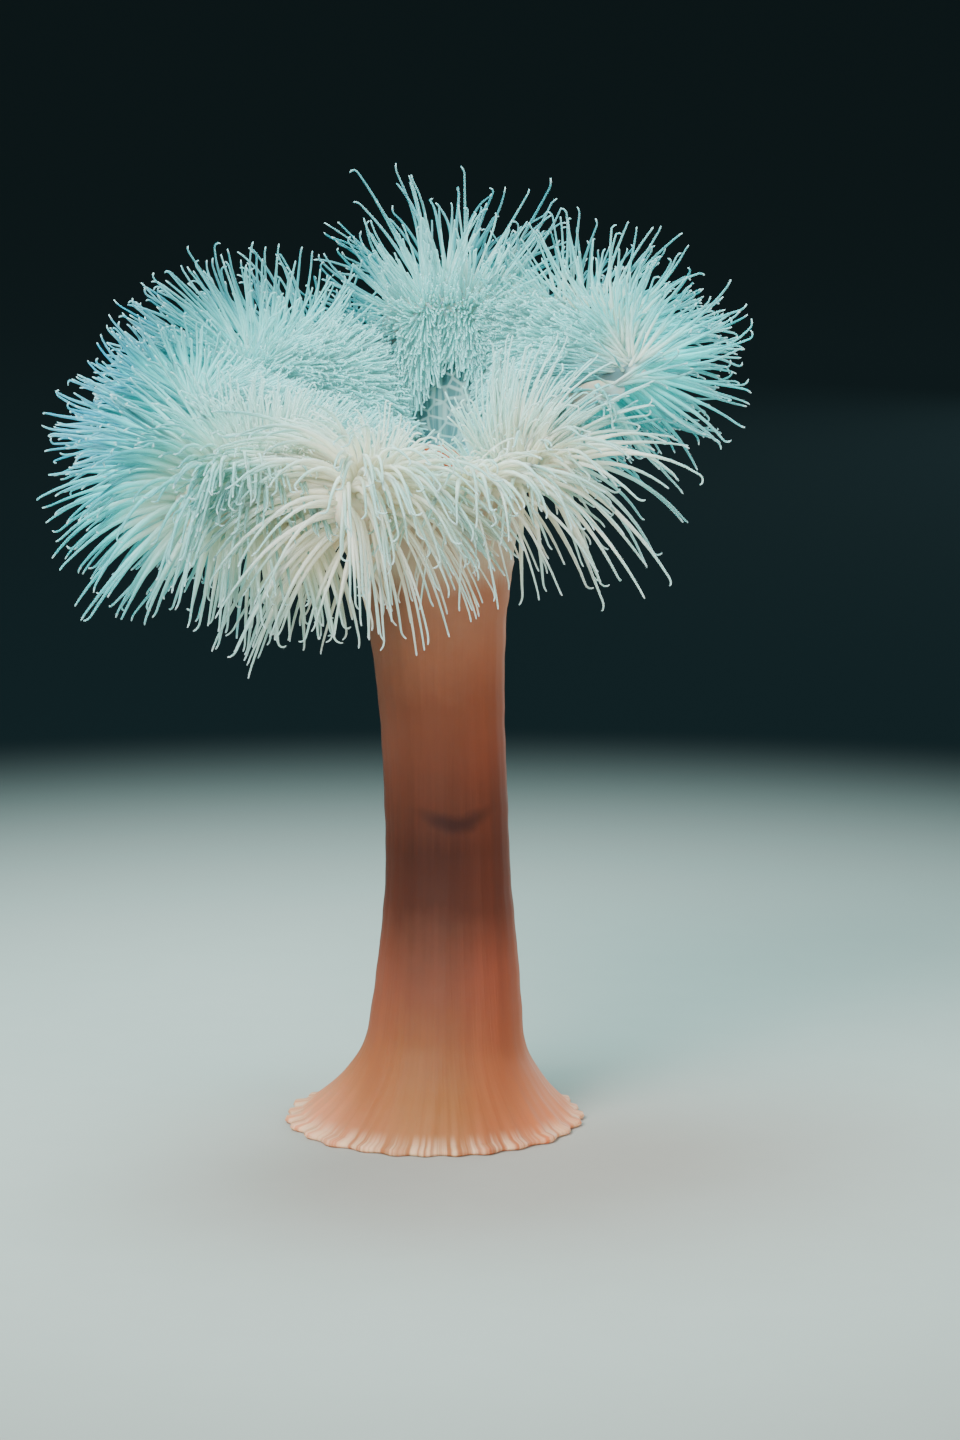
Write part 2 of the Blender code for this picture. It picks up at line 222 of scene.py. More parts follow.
# Lobes whose outer feelers part to both sides of a ridge: its half width and theirs, in degrees
PARTED = ("lobe_left_front", "lobe_front_left")
RIDGE_HALF = 4.5
PARTED_TURN, PARTED_HALF = 5.0, 17.0
PARTED_LEAN = 0.7
# The middle of a lobe's flesh lies between two control rings, and is drawn in towards the mouth
CENTRE_RINGS = (3, 7)
CENTRE_SHARE = 0.55
CENTRE_DRAW = np.array((0.86, 0.86, 1.0))
LIPS_TURN = 278.0  # middle of the crest in front of the mouth
WINDOW_TURN = 74.0  # middle of the bare strip behind the mouth, in degrees
WINDOW_HALF = 34.0
WINDOW_DEEP = 0.150  # how far the bare strip reaches up the slope, as a share
WINDOW_EDGE, WINDOW_FADE = 0.95, 0.25  # where its edge starts, and how wide it is, as shares of its size
SHARP = 0.001  # a fade that is over within one row

# How thickly feelers stand under a lobe's edge, then how much thicker above it, on the crest and inside
PACKED = {"under": 0.24, "above": 0.20, "crest": 0.7, "inner": 1.5}
# Lengths in millimetres: at the edge's underside, how much longer above it; how much shorter on the side that
# faces the mouth, shorter again in front, and longer where it stands up in a fan
LENGTH = {"under": 18.0, "above": 4.5, "inner": 8.0, "front": 2.0, "fan": 7.0}
LENGTH_RANGE = (0.65, 0.46)  # the shortest share of a length, and how much more there may be
INNER_FROM, INNER_GROW = 0.575, 0.09  # where the side that faces the mouth starts, as shares
RIM_FROM = 0.86  # where the ring beside the bare disc starts
LOW_TOP, LOW_SPAN = 132.0 * MM, 26.0 * MM  # roots under this height hang more and more
FAN_TURN, FAN_HALF = 326.0, 18.0  # middle and half width of the fan, in degrees
HOOKED = 0.45  # the share of feelers with a clear hook
HOOKS = (0.9, 2.4)  # how far those bend, in radians
BENDS = (0.0, 0.8)  # how far the others do
SCATTER = 0.035  # how much neighbours differ in their first direction
FIRST_DRIFT = 0.06  # how much it changes slowly over the coat
SWEEP_SCATTER, SWEEP_DRIFT = 0.06, 0.28  # the same for the way that they bend
DROOP_RANGE = (0.75, 1.25)
LIFT_RANGE = (-0.4, 1.0)
SHORTENED = (0.80, 1.0)  # a feeler that would pass the solids' box is cut by this too, so no plane shows
DRIFTS = ((11, 3.0), (19, -5.0), (31, 7.0))  # waves round the crown, and bands from edge to disc

# Under the front lobes, over the neck, only a haze of fine short feelers hangs
UNDER_FRONT = patch(273.0, 30.0, power=4, stop=0.30, fade=0.16)
# Gaps between the lobes: sparser and shorter feelers, and painted shade on skin and feelers
HOLLOWS = [
    patch(middle, half, start=start, grow=0.06, stop=stop, fade=0.08)
    for middle, half, start, stop in (
        (-2.0, 12.0, 0.57, 0.79),
        (112.0, 6.5, 0.52, 0.72),
        (188.0, 7.0, 0.47, 0.66),
        (226.0, 5.0, 0.16, 0.46),
    )
]
# Where the coat is sparse beside the folds; only the strongest counts
SPARSE = (
    patch(-7.0, 14.0, 0.85, stop=0.45),
    patch(336.0, 9.0, 0.74, start=0.36),
    patch(326.0, 15.0, 0.56, stop=0.60, fade=SHARP),
    patch(223.0, 28.0, 0.42, power=4, stop=0.32),
    patch(128.0, 24.0, 0.35, power=4, stop=0.58, fade=SHARP),
    patch(88.0, 26.0, 0.58, stop=0.70, fade=0.05),
)
# Where it is thinner again, or fuller where the amount is below 0; each counts
THINNED = (
    patch(283.0, 30.0, 0.68, power=4, stop=0.62),
    patch(LIPS_TURN, 34.0, 0.965, power=4, start=0.61, grow=0.08),
    patch(188.0, 34.0, 0.25, power=4, stop=0.52, fade=SHARP),
    patch(309.0, 14.0, 0.45, stop=0.48, fade=SHARP),
    patch(50.0, 13.0, -0.6, stop=0.62, fade=SHARP),
)
# Short feelers round the bare strip and on the crest before the mouth
SHORT = (
    patch(WINDOW_TURN, 40.0, start=0.64, grow=0.12),
    patch(252.0, 20.0, 0.4, start=0.66),
)
LIPS_OUT = patch(LIPS_TURN, 17.0, 0.8, start=0.38, grow=0.15)  # how far those before the lips lean out
STANDING = patch(88.0, 22.0, stop=0.70, fade=0.08)  # feelers of the rear lobe that stand up
NOTCHED = patch(200.0, 11.0, 0.13, stop=0.0, fade=0.55)
# Longer or shorter feelers: middle and half width in degrees, and the change; one group adds up
LENGTH_CHANGES = (
    ((240.0, 18.0, 0.19), (215.0, 10.0, -0.08)),
    ((169.0, 16.0, -0.36), (30.0, 15.0, -0.19)),
    ((88.0, 22.0, 0.12),),
)

SURROUND = (0.006, 0.012, 0.013)  # colour of the dim studio, also of the floor far away


# -------- shapes of the body

def column_axis(height):
    """Where the column's middle line passes at a height."""
    return BOW * math.sin(math.pi * min(height / BOW_HEIGHT, 1.0) ** 0.7)


def column_radius(height):
    """The column's radius at a height."""
    rest = 1.0 - height / TAPER_HEIGHT
    radius = WAIST_RADIUS
    radius += TAPER_SPREAD * ((rest + math.hypot(rest, TAPER_SOFT)) / 2 - TAPER_SOFT / 2)
    radius += FOOT_SPREAD * max(1.0 - height / FLARE_HEIGHT, 0.0) ** FLARE_POWER
    radius += TOP_SPREAD * (max(height - TOP_START, 0.0) / (COLUMN_TOP - TOP_START)) ** 2
    return radius


def blur_round(values, width):
    """Soften a periodic row of values over some degrees."""
    reach = max(int(width / 360.0 * len(values)), 1)
    kernel = np.hanning(2 * reach + 3)[1:-1]
    kernel /= kernel.sum()
    padded = np.concatenate((values[-reach:], values, values[:reach]))
    return np.convolve(padded, kernel, "valid")


def lobe_shape():
    """The skin's reach, crest, belly and crest's place, as a share, round the disc."""
    front = np.clip(-np.sin(np.radians(LOBE_MIDDLES)), 0.0, 1.0)[:, None]
    sizes = LOBE_SIZES - BACK_DEPTH - (FRONT_DEPTH - BACK_DEPTH) * front
    away = wrap(TURNS[:, None] - LOBE_MIDDLES[None, :])
    after = NEXT_MIDDLES - LOBE_MIDDLES
    half = np.where(away > 0, after, np.roll(after, 1)) / 2
    here = np.abs(away / half).argmin(axis=1)
    pick = np.arange(AROUND)
    ahead = away[pick, here] > 0
    share = np.abs(away[pick, here] / half[pick, here])
    swell = np.cos(share * math.pi / 2) ** (SWELL_POWERS[0] + SWELL_POWERS[1] * front[here, 0])
    beside = (here + np.where(ahead, 1, -1)) % len(LOBES)
    fold = (sizes[here] + sizes[beside]) / 2
    deep = FOLDS[np.where(ahead, here, beside)]
    fold[:, 0] *= 1.0 - (1.0 - FOLD_REACH) * deep
    fold[:, 1] -= FOLD_DROP * deep
    fold[:, 2] += FOLD_DROP * 0.3 * deep
    shape = fold + (sizes[here] - fold) * swell[:, None]
    crest_out = CRESTS[here] + (CRESTS[beside] - CRESTS[here]) * share * 0.5
    return [blur_round(row, LOBE_BLUR) for row in (*shape.T, crest_out)]


def crown_rings():
    """Control rings (radius, height) of the crown, from the neck's top to the bottom of the throat."""
    reach, crest, belly, crest_out = lobe_shape()
    top = reach * crest_out
    deep = crest - belly
    angle = np.radians(TURNS)
    ruffle = np.cos(RUFFLES * angle + 1.3 * np.sin(5.0 * angle)) * RUFFLE_DEPTH
    lean = DISC_LEAN * np.sin(angle)
    flat = np.ones_like(TURNS)
    rise = belly - NECK_TOP
    rim = DISC_HEIGHT + BARE_RADIUS * lean
    slope = top - BARE_RADIUS
    rings = [
        (NECK_RADIUS * flat, (NECK_TOP - NECK_GAP[1]) * flat),
        (14.2 * MM * flat, NECK_TOP + rise * 0.16),  # the neck flares
        (13.0 * MM + reach * 0.13 + 0.2 * ruffle, NECK_TOP + rise * 0.66),
        (reach * 0.74 + 0.3 * ruffle, belly),
        (reach * 0.95 + 0.6 * ruffle, belly + deep * 0.22 - 0.6 * ruffle),
        (reach + ruffle, belly + deep * 0.55),  # the edge
        ((reach * 1.9 + top) / 2.9 + 0.6 * ruffle, belly + deep * 0.86 + 0.6 * ruffle),
        (top, crest + 0.5 * ruffle),
        (BARE_RADIUS + slope * 0.55, rim + (crest - rim) * 0.78),  # down inside to the bare disc
        (BARE_RADIUS + slope * 0.20, rim + (crest - rim) * 0.28),
        (BARE_RADIUS * flat, rim),
    ]
    pleat = np.cos(13.0 * angle + 0.8 * np.sin(3.0 * angle))
    for radius, drop, fold in THROAT:
        out = radius + PLEATS[0] * fold * pleat
        up = radius * lean - drop - PLEATS[1] * fold * pleat
        rings.append((out * MM, DISC_HEIGHT + up * MM))
    return rings


def splined(points, span):
    """Rows of a Catmull-Rom curve through a stack of control rows."""
    stack = np.concatenate((points[:1], points, points[-1:]))
    rows = []
    for i in range(1, len(stack) - 2):
        a, b, c, d = stack[i - 1 : i + 3]
        square = 2 * a - 5 * b + 4 * c - d
        cube = 3 * b - a - 3 * c + d
        for k in range(span):
            t = k / span
            rows.append(0.5 * (2 * b + (c - a) * t + square * t**2 + cube * t**3))
    rows.append(stack[-2])
    return np.array(rows)


def column_rings():
    """Rings (radius, height, middle) from the sole's centre up to the neck."""
    angle = np.radians(TURNS)
    flat = np.ones_like(TURNS)
    scallop = np.cos(27.0 * angle + 0.9 * np.sin(4.0 * angle)) + 0.5 * np.cos(11.0 * angle + 1.0)
    ridge = np.cos(54.0 * angle + 1.8 * np.sin(4.0 * angle) + 0.6 * np.sin(9.0 * angle))
    rings = [(SOLE_RADIUS * share * flat, 0.0 * flat, 0.0) for share in SOLE_RINGS]
    for out, height, wide, tall in EDGE_RINGS:
        rings.append((SOLE_RADIUS + (out + wide * scallop) * MM, (height + tall * scallop) * MM, 0.0))
    rise = COLUMN_TOP / MM - COLUMN_START - COLUMN_GAP
    for level in COLUMN_START + rise * np.linspace(0.0, 1.0, COLUMN_ROWS) ** ROWS_POWER:
        height = level * MM
        near = math.exp(-height / SCALLOP_HEIGHT)
        radius = column_radius(height) + near * (SCALLOP_DEPTH * scallop + RIDGE_DEPTH * ridge)
        radius = radius + FURROW_DEPTH * np.cos(24.0 * angle + 0.7 * np.sin(height * 90.0))
        wave = math.sin(level * 0.9) * np.sin(2.0 * angle + level * 0.21)
        rings.append((radius + WAVE_DEPTH * wave, height * flat, column_axis(height)))
    base = column_radius(COLUMN_TOP)
    middle = column_axis(COLUMN_TOP)
    for out, height in COLLAR_RINGS:
        rings.append(((base + out * MM) * flat, (COLUMN_TOP + height * MM) * flat, middle))
    low = COLLAR_TOP + NECK_GAP[0]
    high = NECK_TOP - NECK_GAP[1]
    for share in NECK_RINGS:
        radius = base + NECK_FOOT + (NECK_RADIUS - base - NECK_FOOT) * share**NECK_POWER
        rings.append((radius * flat, (low + (high - low) * share) * flat, middle))
    return rings


def body_grid():
    """The skin's rows of points, with the number of the first row of the crown."""
    angle = np.radians(TURNS)
    column = [
        np.stack((middle + radius * np.cos(angle), radius * np.sin(angle), height), axis=1)
        for radius, height, middle in column_rings()
    ]
    control = [
        np.stack((radius * np.cos(angle), radius * np.sin(angle), height), axis=1)
        for radius, height in crown_rings()
    ]
    return np.concatenate((np.array(column), splined(np.array(control), SPAN))), len(column)


def grid_normals(grid):
    """Outward directions at a grid's points."""
    along = np.gradient(grid, axis=0)
    round_way = np.roll(grid, -1, axis=1) - np.roll(grid, 1, axis=1)
    return unit(np.cross(round_way, along))


def unit(rows):
    """Rows of vectors, each one long."""
    return rows / np.maximum(np.linalg.norm(rows, axis=-1, keepdims=True), 1e-12)


def mesh_of(name, points, *blocks):
    """A smooth mesh from an array of points and arrays of faces, each array for one number of corners."""
    sizes = np.concatenate([np.full(len(faces), faces.shape[1]) for faces in blocks])
    corners = np.concatenate([faces.ravel() for faces in blocks])
    mesh = bpy.data.meshes.new(name)
    mesh.vertices.add(len(points))
    mesh.vertices.foreach_set("co", points.astype(np.float32).ravel())
    mesh.loops.add(len(corners))
    mesh.loops.foreach_set("vertex_index", corners.astype(np.int32))
    mesh.polygons.add(len(sizes))
    mesh.polygons.foreach_set("loop_start", (np.cumsum(sizes) - sizes).astype(np.int32))
    mesh.update(calc_edges=True)
    mesh.shade_smooth()
    piece = bpy.data.objects.new(name, mesh)
    bpy.context.scene.collection.objects.link(piece)
    return piece


def add_map(piece, corners):
    """The baking map, from one (u, v) for each corner."""
    layer = piece.data.uv_layers.new(name="OFBake")
    layer.data.foreach_set("uv", corners.astype(np.float32).ravel())


def add_value(piece, name, values):
    """A number for each point, which a material can read."""
    layer = piece.data.attributes.new(name, "FLOAT", "POINT")
    layer.data.foreach_set("value", values.astype(np.float32).ravel())


def map_skin(skin, grid, row, col):
    """Lay the skin flat on its baking map: round the body across, and from sole to throat upwards."""
    run = np.cumsum(np.linalg.norm(np.diff(grid, axis=0), axis=2).mean(axis=1))
    run = MAP_EDGE + MAP_SIZE * np.concatenate(([0.0], run)) / run[-1]
    u = np.stack((col, col + 1, col + 1, col), axis=-1) / AROUND * MAP_SIZE + MAP_EDGE
    v = np.stack((run[row], run[row], run[row + 1], run[row + 1]), axis=-1)
    across = np.arange(AROUND) / AROUND
    sole = np.stack((across[::-1], np.full(AROUND, 0.002)), axis=-1)
    throat = np.stack((across, np.full(AROUND, 0.998)), axis=-1)
    add_map(skin, np.concatenate((np.stack((u, v), axis=-1).reshape(-1, 2), sole, throat)))


def make_skin(grid, first):
    """One closed skin over foot, column, collar, neck, disc and throat."""
    rows = len(grid)
    row, col = np.meshgrid(np.arange(rows - 1), np.arange(AROUND), indexing="ij")
    here = row * AROUND + col
    beside = row * AROUND + (col + 1) % AROUND
    faces = np.stack((here, beside, beside + AROUND, here + AROUND), axis=-1)
    ends = np.stack((np.arange(AROUND)[::-1], (rows - 1) * AROUND + np.arange(AROUND)))
    skin = mesh_of("anemone_skin", grid.reshape(-1, 3), faces.reshape(-1, 4), ends)
    map_skin(skin, grid, row, col)
    add_value(skin, "ring", np.repeat(np.clip((np.arange(rows) - first) / SPAN, 0.0, None), AROUND))
    start, stop = coat_rows(first)
    share = coat_shares(stop - start)
    window = np.zeros((rows, AROUND))
    window[start:stop] = bare_window(share)
    add_value(skin, "window", window)
    # How far the skin is painted dark in the folds and gaps between the lobes: painted shade
    cleft = np.zeros((rows, AROUND))
    cleft[start:stop] = np.maximum(clefts(TURNS)[None, :], strongest(HOLLOWS, TURNS, share))
    add_value(skin, "cleft", cleft)
    return skin


# -------- the coat's places

def at(grid, row, col):
    """Values of a grid between its points; the columns close on themselves."""
    low = np.clip(row.astype(int), 0, len(grid) - 2)
    left = col.astype(int) % grid.shape[1]
    right = (left + 1) % grid.shape[1]
    up = (row - low)[:, None]
    over = (col - np.floor(col))[:, None]
    near = grid[low, left] * (1 - over) + grid[low, right] * over
    far = grid[low + 1, left] * (1 - over) + grid[low + 1, right] * over
    return near * (1 - up) + far * up


def coat_rows(first):
    """The first and last row of the skin that carry feelers."""
    return first + int(COAT_FROM * SPAN), first + int(COAT_TO * SPAN)


def coat_shares(rows):
    """How far inwards each of the coat's rows is, as a column."""
    return ((np.arange(rows) + 0.5) / rows)[:, None]


def bare_window(share):
    """1 where the disc behind the mouth has no feelers, over some rows of the coat."""
    away = np.hypot((TURNS - WINDOW_TURN) / WINDOW_HALF, (1.0 - share) / WINDOW_DEEP)
    return 1.0 - ease((away - WINDOW_EDGE) / WINDOW_FADE)


def clefts(turn):
    """1 in the deepest folds between two lobes, 0 on the lobes, for azimuths in degrees."""
    away = wrap(turn[:, None] - FOLD_TURNS)
    return (FOLDS * bell(away, CLEFT_WIDTHS)).max(axis=1)


def lobe_of(col):
    """The lobe that each column of the grid belongs to."""
    start = FOLD_TURNS[-1] - 360.0
    turn = (col * 360.0 / AROUND - start) % 360.0 + start
    return np.searchsorted(FOLD_TURNS, turn) % len(LOBES)


def lobe_centres(grid, first):
    """The middle of each lobe's flesh, from which its feelers fan out."""
    cols = [int(round(middle / 360.0 * AROUND)) % AROUND for middle in LOBE_MIDDLES]
    under, crest = (grid[first + ring * SPAN, cols] for ring in CENTRE_RINGS)
    return (under * CENTRE_SHARE + crest * (1.0 - CENTRE_SHARE)) * CENTRE_DRAW


def coat_weights(part):
    """How many feelers each cell of the coat asks for, from the coat's rows of points."""
    along = np.linalg.norm(np.diff(part, axis=0), axis=2)
    wide = np.linalg.norm(np.roll(part, -1, axis=1) - part, axis=2)[:-1]
    share = coat_shares(len(along))
    packed = PACKED["under"] + PACKED["above"] * ease(share / 0.40)
    packed += PACKED["crest"] * bell(share - 0.54, 0.07) + PACKED["inner"] * ease((share - 0.60) / 0.10)
    gap = clefts(TURNS) * ease((share - 0.25) / 0.2) * (1.0 - ease((share - 0.52) / 0.06))
    high = ease((part[:-1, :, 2] - 124.0 * MM) / (12.0 * MM)) * (share < 0.6)
    weight = along * wide * packed * (1.0 - bare_window(share))
    weight *= (1.0 - 0.75 * gap) * (1.0 - 0.45 * high) * (1.0 - 0.25 * UNDER_FRONT(TURNS, share))
    weight *= (1.0 - 0.9 * strongest(HOLLOWS, TURNS, share)) * (1.0 - strongest(SPARSE, TURNS, share))
    for thinner in THINNED:
        weight *= 1.0 - thinner(TURNS, share)
    return weight


def root_places(grid, first):
    """Evenly spread places (row, column, share from the edge's underside to the bare disc)."""
    start, stop = coat_rows(first)
    weight = coat_weights(grid[start : stop + 1])
    by_row = np.concatenate(([0.0], np.cumsum(weight.sum(axis=1))))
    number = np.arange(FEELERS)
    ask = (number + 0.5) / FEELERS * by_row[-1]
    row = np.interp(ask, by_row, np.arange(len(by_row)))
    across = (number * GOLDEN + CHANCE.uniform(-JITTER, JITTER, FEELERS)) % 1.0
    col = np.empty(FEELERS)
    for k in range(len(weight)):
        here = row.astype(int) == k
        sums = np.concatenate(([0.0], np.cumsum(weight[k])))
        col[here] = np.interp(across[here] * sums[-1], sums, np.arange(len(sums)))
    return start + row, col, row / len(weight)


def read_coat(grid, first):
    """Where each feeler grows, and what its place means for its shape."""
    row, col, share = root_places(grid, first)
    angle = col / AROUND * 2.0 * math.pi
    turn = np.degrees(angle)
    coat = SimpleNamespace(row=row, col=col, share=share, angle=angle, turn=turn)
    flat = np.zeros(FEELERS)
    coat.root = at(grid, row, col)
    coat.facing = unit(at(grid_normals(grid), row, col))
    coat.inward = unit(at(np.gradient(grid, axis=0), row, col))
    coat.outward = np.stack((np.cos(angle), np.sin(angle), flat), axis=1)
    coat.around = np.stack((-np.sin(angle), np.cos(angle), flat), axis=1)
    coat.lobe = lobe_of(col)
    coat.fan = unit(coat.root - lobe_centres(grid, first)[coat.lobe])
    coat.low = ease((LOW_TOP - coat.root[:, 2]) / LOW_SPAN)  # 1 on the low front lobes
    coat.front = np.clip(-np.sin(angle), 0.0, 1.0)
    coat.forward = np.clip(0.25 - np.sin(angle), 0.0, 1.0)
    coat.inner = ease((share - INNER_FROM) / INNER_GROW)  # 1 on the side of a lobe that faces the mouth
    coat.rim = ease((share - RIM_FROM) / (1.0 - RIM_FROM))  # 1 beside the bare disc
    coat.fanned = bell(turn - FAN_TURN, FAN_HALF)  # the inner side here stands up in a fan
    coat.standing = STANDING(turn, share)
    coat.haze = UNDER_FRONT(turn, share)
    coat.hollow = strongest(HOLLOWS, turn, share)
    coat.cleft = clefts(turn) * ease((share - 0.2) / 0.2)
    return coat


# -------- shapes of the feelers

def drift(coat, amount):
    """A slow change of direction over the skin, so that neighbouring feelers lie together."""
    total = np.zeros((FEELERS, 3))
    for waves, bands in DRIFTS:
        for axis in range(3):
            phase = CHANCE.uniform(0.0, 2.0 * math.pi)
            total[:, axis] += np.sin(waves * coat.angle + bands * coat.share * math.pi + phase)
    return total * amount


def part_at_ridges(coat):
    """Where the ridges of the parted lobes are, and how far their feelers lean aside."""
    parted = np.isin(coat.lobe, [list(LOBES).index(name) for name in PARTED])
    from_ridge = coat.turn - LOBE_MIDDLES[coat.lobe]
    ridge = parted * bell(from_ridge, RIDGE_HALF) * ease((coat.share - 0.10) / 0.15)
    aside = parted * np.tanh(from_ridge / PARTED_TURN) * bell(from_ridge, PARTED_HALF)
    return ridge, aside * PARTED_LEAN * (1.0 - coat.inner)


def first_ways(coat, aside):
    """The direction in which each feeler leaves the skin."""
    inner, front, fanned = coat.inner, coat.front, coat.fanned
    spread = CHANCE.normal(0.0, SCATTER, (FEELERS, 3)) + drift(coat, FIRST_DRIFT)
    spread *= (1.0 - 0.4 * inner)[:, None]
    # away from the body's middle, most of all on the crest before the lips and inside the low front lobes
    out = 0.15 - 0.25 * inner + 0.5 * (front + fanned) * inner + 0.5 * coat.rim * ease(front * 3.0)
    out += LIPS_OUT(coat.turn, coat.share)
    up = inner * (0.10 * front + 0.75 * fanned)
    # combed down towards the mouth on the inner sides of the rear lobes
    lying = inner * (1.0 - 0.85 * coat.standing) * (1.0 - fanned) * np.clip(1.0 - 1.6 * front, 0.0, 1.0)
    lying *= 1.0 - 0.6 * coat.rim
    way = coat.fan * (0.8 - 0.4 * inner)[:, None]
    way += coat.facing * (0.7 - 0.35 * lying)[:, None]
    way += coat.inward * (1.1 * lying)[:, None]
    way += coat.outward * out[:, None]
    way[:, 2] += up
    return unit(way + spread + coat.around * aside[:, None])


def feeler_lengths(coat):
    """How long each feeler is."""
    share, inner, front, fanned = coat.share, coat.inner, coat.front, coat.fanned
    shorter = LENGTH["inner"] + LENGTH["front"] * front - LENGTH["fan"] * fanned
    length = (LENGTH["under"] + LENGTH["above"] * ease(share / 0.3) - shorter * inner) * MM
    length *= 1.0 + 0.12 * coat.low * ease(1.3 - share)
    length *= LENGTH_RANGE[0] + LENGTH_RANGE[1] * CHANCE.random(FEELERS) ** 0.95
    length *= (1.0 - 0.45 * coat.cleft) * (1.0 - 0.15 * coat.haze) * (1.0 - 0.45 * coat.rim)
    length *= (1.0 - 0.68 * strongest(SHORT, coat.turn, share)) * (1.0 - 0.5 * coat.hollow)
    length *= (1.0 - NOTCHED(coat.turn, share)) * (1.0 - 0.3 * coat.standing * inner)
    for group in LENGTH_CHANGES:
        length *= 1.0 + sum(change * bell(coat.turn - middle, half) for middle, half, change in group)
    return length


def grow(coat, start, length):
    """Middle lines of all feelers, and the places of their points as shares of the length."""
    upward = np.array((0.0, 0.0, 1.0))
    hanging = coat.low * coat.forward
    droop = (0.05 + 1.9 * hanging * ease(1.15 - coat.share)) * CHANCE.uniform(*DROOP_RANGE, FEELERS)
    sweep = drift(coat, SWEEP_DRIFT) + CHANCE.normal(0.0, SWEEP_SCATTER, (FEELERS, 3))
    sweep *= ((1.0 - 0.85 * hanging) * (1.0 - 0.65 * coat.inner))[:, None]
    lift = (0.30 * (1.0 - hanging) * CHANCE.uniform(*LIFT_RANGE, FEELERS))[:, None]
    side = unit(np.cross(start, CHANCE.normal(0.0, 1.0, (FEELERS, 3))))
    hooked = CHANCE.random(FEELERS) < HOOKED
    curl = np.where(hooked, CHANCE.uniform(*HOOKS, FEELERS), CHANCE.uniform(*BENDS, FEELERS))
    curl *= 1.0 - 0.6 * coat.haze
    phase = CHANCE.uniform(0.0, 2.0 * math.pi, FEELERS)
    straight = np.linspace(0.0, HOOK_FROM, STEPS, endpoint=False)
    place = np.concatenate((straight, np.linspace(HOOK_FROM, 1.0, HOOK_STEPS)))
    point = coat.root - start * ROOT_DEPTH
    line = [point]
    for before, now in zip(place, place[1:]):
        t = (before + now) / 2
        way = start + coat.outward * 0.20 * t - upward * (droop * t**1.2)[:, None]
        way = way + sweep * (t * (1.5 * t - 0.4)) + upward * lift * t**3
        way = unit(way + side * (0.06 * np.sin(phase + 4.0 * t))[:, None])
        bend = curl * max((t - HOOK_FROM) / (1.0 - HOOK_FROM), 0.0)
        across = unit(side - way * (side * way).sum(axis=1, keepdims=True))
        way = way * np.cos(bend)[:, None] + across * np.sin(bend)[:, None]
        point = point + way * (length * (now - before))[:, None]
        line.append(point)
    return keep_inside(np.stack(line, axis=1)), place


def keep_inside(line):
    """Draw in each feeler that would pass the solids' box."""
    root = line[:, :1]
    margin = TIP_RADIUS * 1.5
    low = np.array(cad_low) + margin
    high = np.array(cad_high) - margin
    offset = line - root
    with np.errstate(divide="ignore", invalid="ignore"):
        room = np.where(offset > 0, high - root, low - root) / offset
    room = np.where(offset == 0, np.inf, room)
    keep = np.clip(room.min(axis=(1, 2)), 0.2, 1.0)
    keep *= np.where(keep < 1.0, CHANCE.uniform(*SHORTENED, len(keep)), 1.0)
    return root + offset * keep[:, None, None]


def feeler_girths(coat):
    """The radius of each feeler at its root."""
    slim = 1.0 - 0.6 * bell(coat.turn - 336.0, 22.0)
    stout = FRONT_EXTRA * coat.low * (1.0 - coat.inner) * slim
    return (FEELER_RADIUS * (1.0 - 0.45 * coat.inner) + stout) * (1.0 - 0.62 * coat.haze)


def map_feelers(piece, place, u, v, index):
    """Give each feeler a small patch of the baking map at its root's place on the skin."""
    feeler, step, k = index
    du = np.stack((k, k + 1, k + 1, k), axis=-1) / SIDES * MAP_PATCH
    dv = np.stack((place[step], place[step], place[step + 1], place[step + 1]), axis=-1) * MAP_PATCH
    sides = np.stack((u[feeler][..., None] + du, v[feeler][..., None] + dv), axis=-1)
    corner = np.stack((u, v), axis=-1)[:, None]
    across = np.arange(SIDES)[:, None] / SIDES * np.array((MAP_PATCH, 0.0))
    low_end = corner + across[::-1]
    high_end = corner + across + np.array((0.0, MAP_PATCH))
    add_map(piece, np.concatenate([part.reshape(-1, 2) for part in (sides, low_end, high_end)]))


def feeler_tubes(name, line, place, girth, u, v):
    """Tapered tubes along some middle lines, as one mesh with its baking map."""
    count, steps = line.shape[:2]
    ahead = unit(np.gradient(line, axis=1))
    side = unit(np.cross(ahead[:, 0], CHANCE.normal(0.0, 1.0, (count, 3))))
    sides = [side]
    for i in range(1, steps):
        side = unit(side - ahead[:, i] * (side * ahead[:, i]).sum(axis=1, keepdims=True))
        sides.append(side)
    side = np.stack(sides, axis=1)
    over = np.cross(ahead, side)
    girth = girth[:, None] * CHANCE.uniform(*GIRTH_RANGE, (count, 1))
    thick = girth + (TIP_RADIUS - girth) * place[None, :] ** 1.05
    thick[:, -1] *= TIP_END
    spin = (np.arange(SIDES) * 2.0 * math.pi / SIDES)[:, None]
    ring = side[:, :, None] * np.cos(spin) + over[:, :, None] * np.sin(spin)
    points = line[:, :, None] + ring * thick[:, :, None, None]
    index = np.meshgrid(np.arange(count), np.arange(steps - 1), np.arange(SIDES), indexing="ij")
    feeler, step, k = index
    here = (feeler * steps + step) * SIDES
    turn = (k + 1) % SIDES
    faces = np.stack((here + k, here + turn, here + SIDES + turn, here + SIDES + k), axis=-1)
    root = (np.arange(count) * steps * SIDES)[:, None] + np.arange(SIDES)[::-1]
    tip = root[:, ::-1] + (steps - 1) * SIDES
    piece = mesh_of(name, points.reshape(-1, 3), faces.reshape(-1, 4), root, tip)
    map_feelers(piece, place, u, v, index)
    shape = (count, steps, SIDES)
    add_value(piece, "along", np.broadcast_to(place[None, :, None], shape))
    add_value(piece, "shade", np.broadcast_to(CHANCE.random(count)[:, None, None], shape))
    return piece


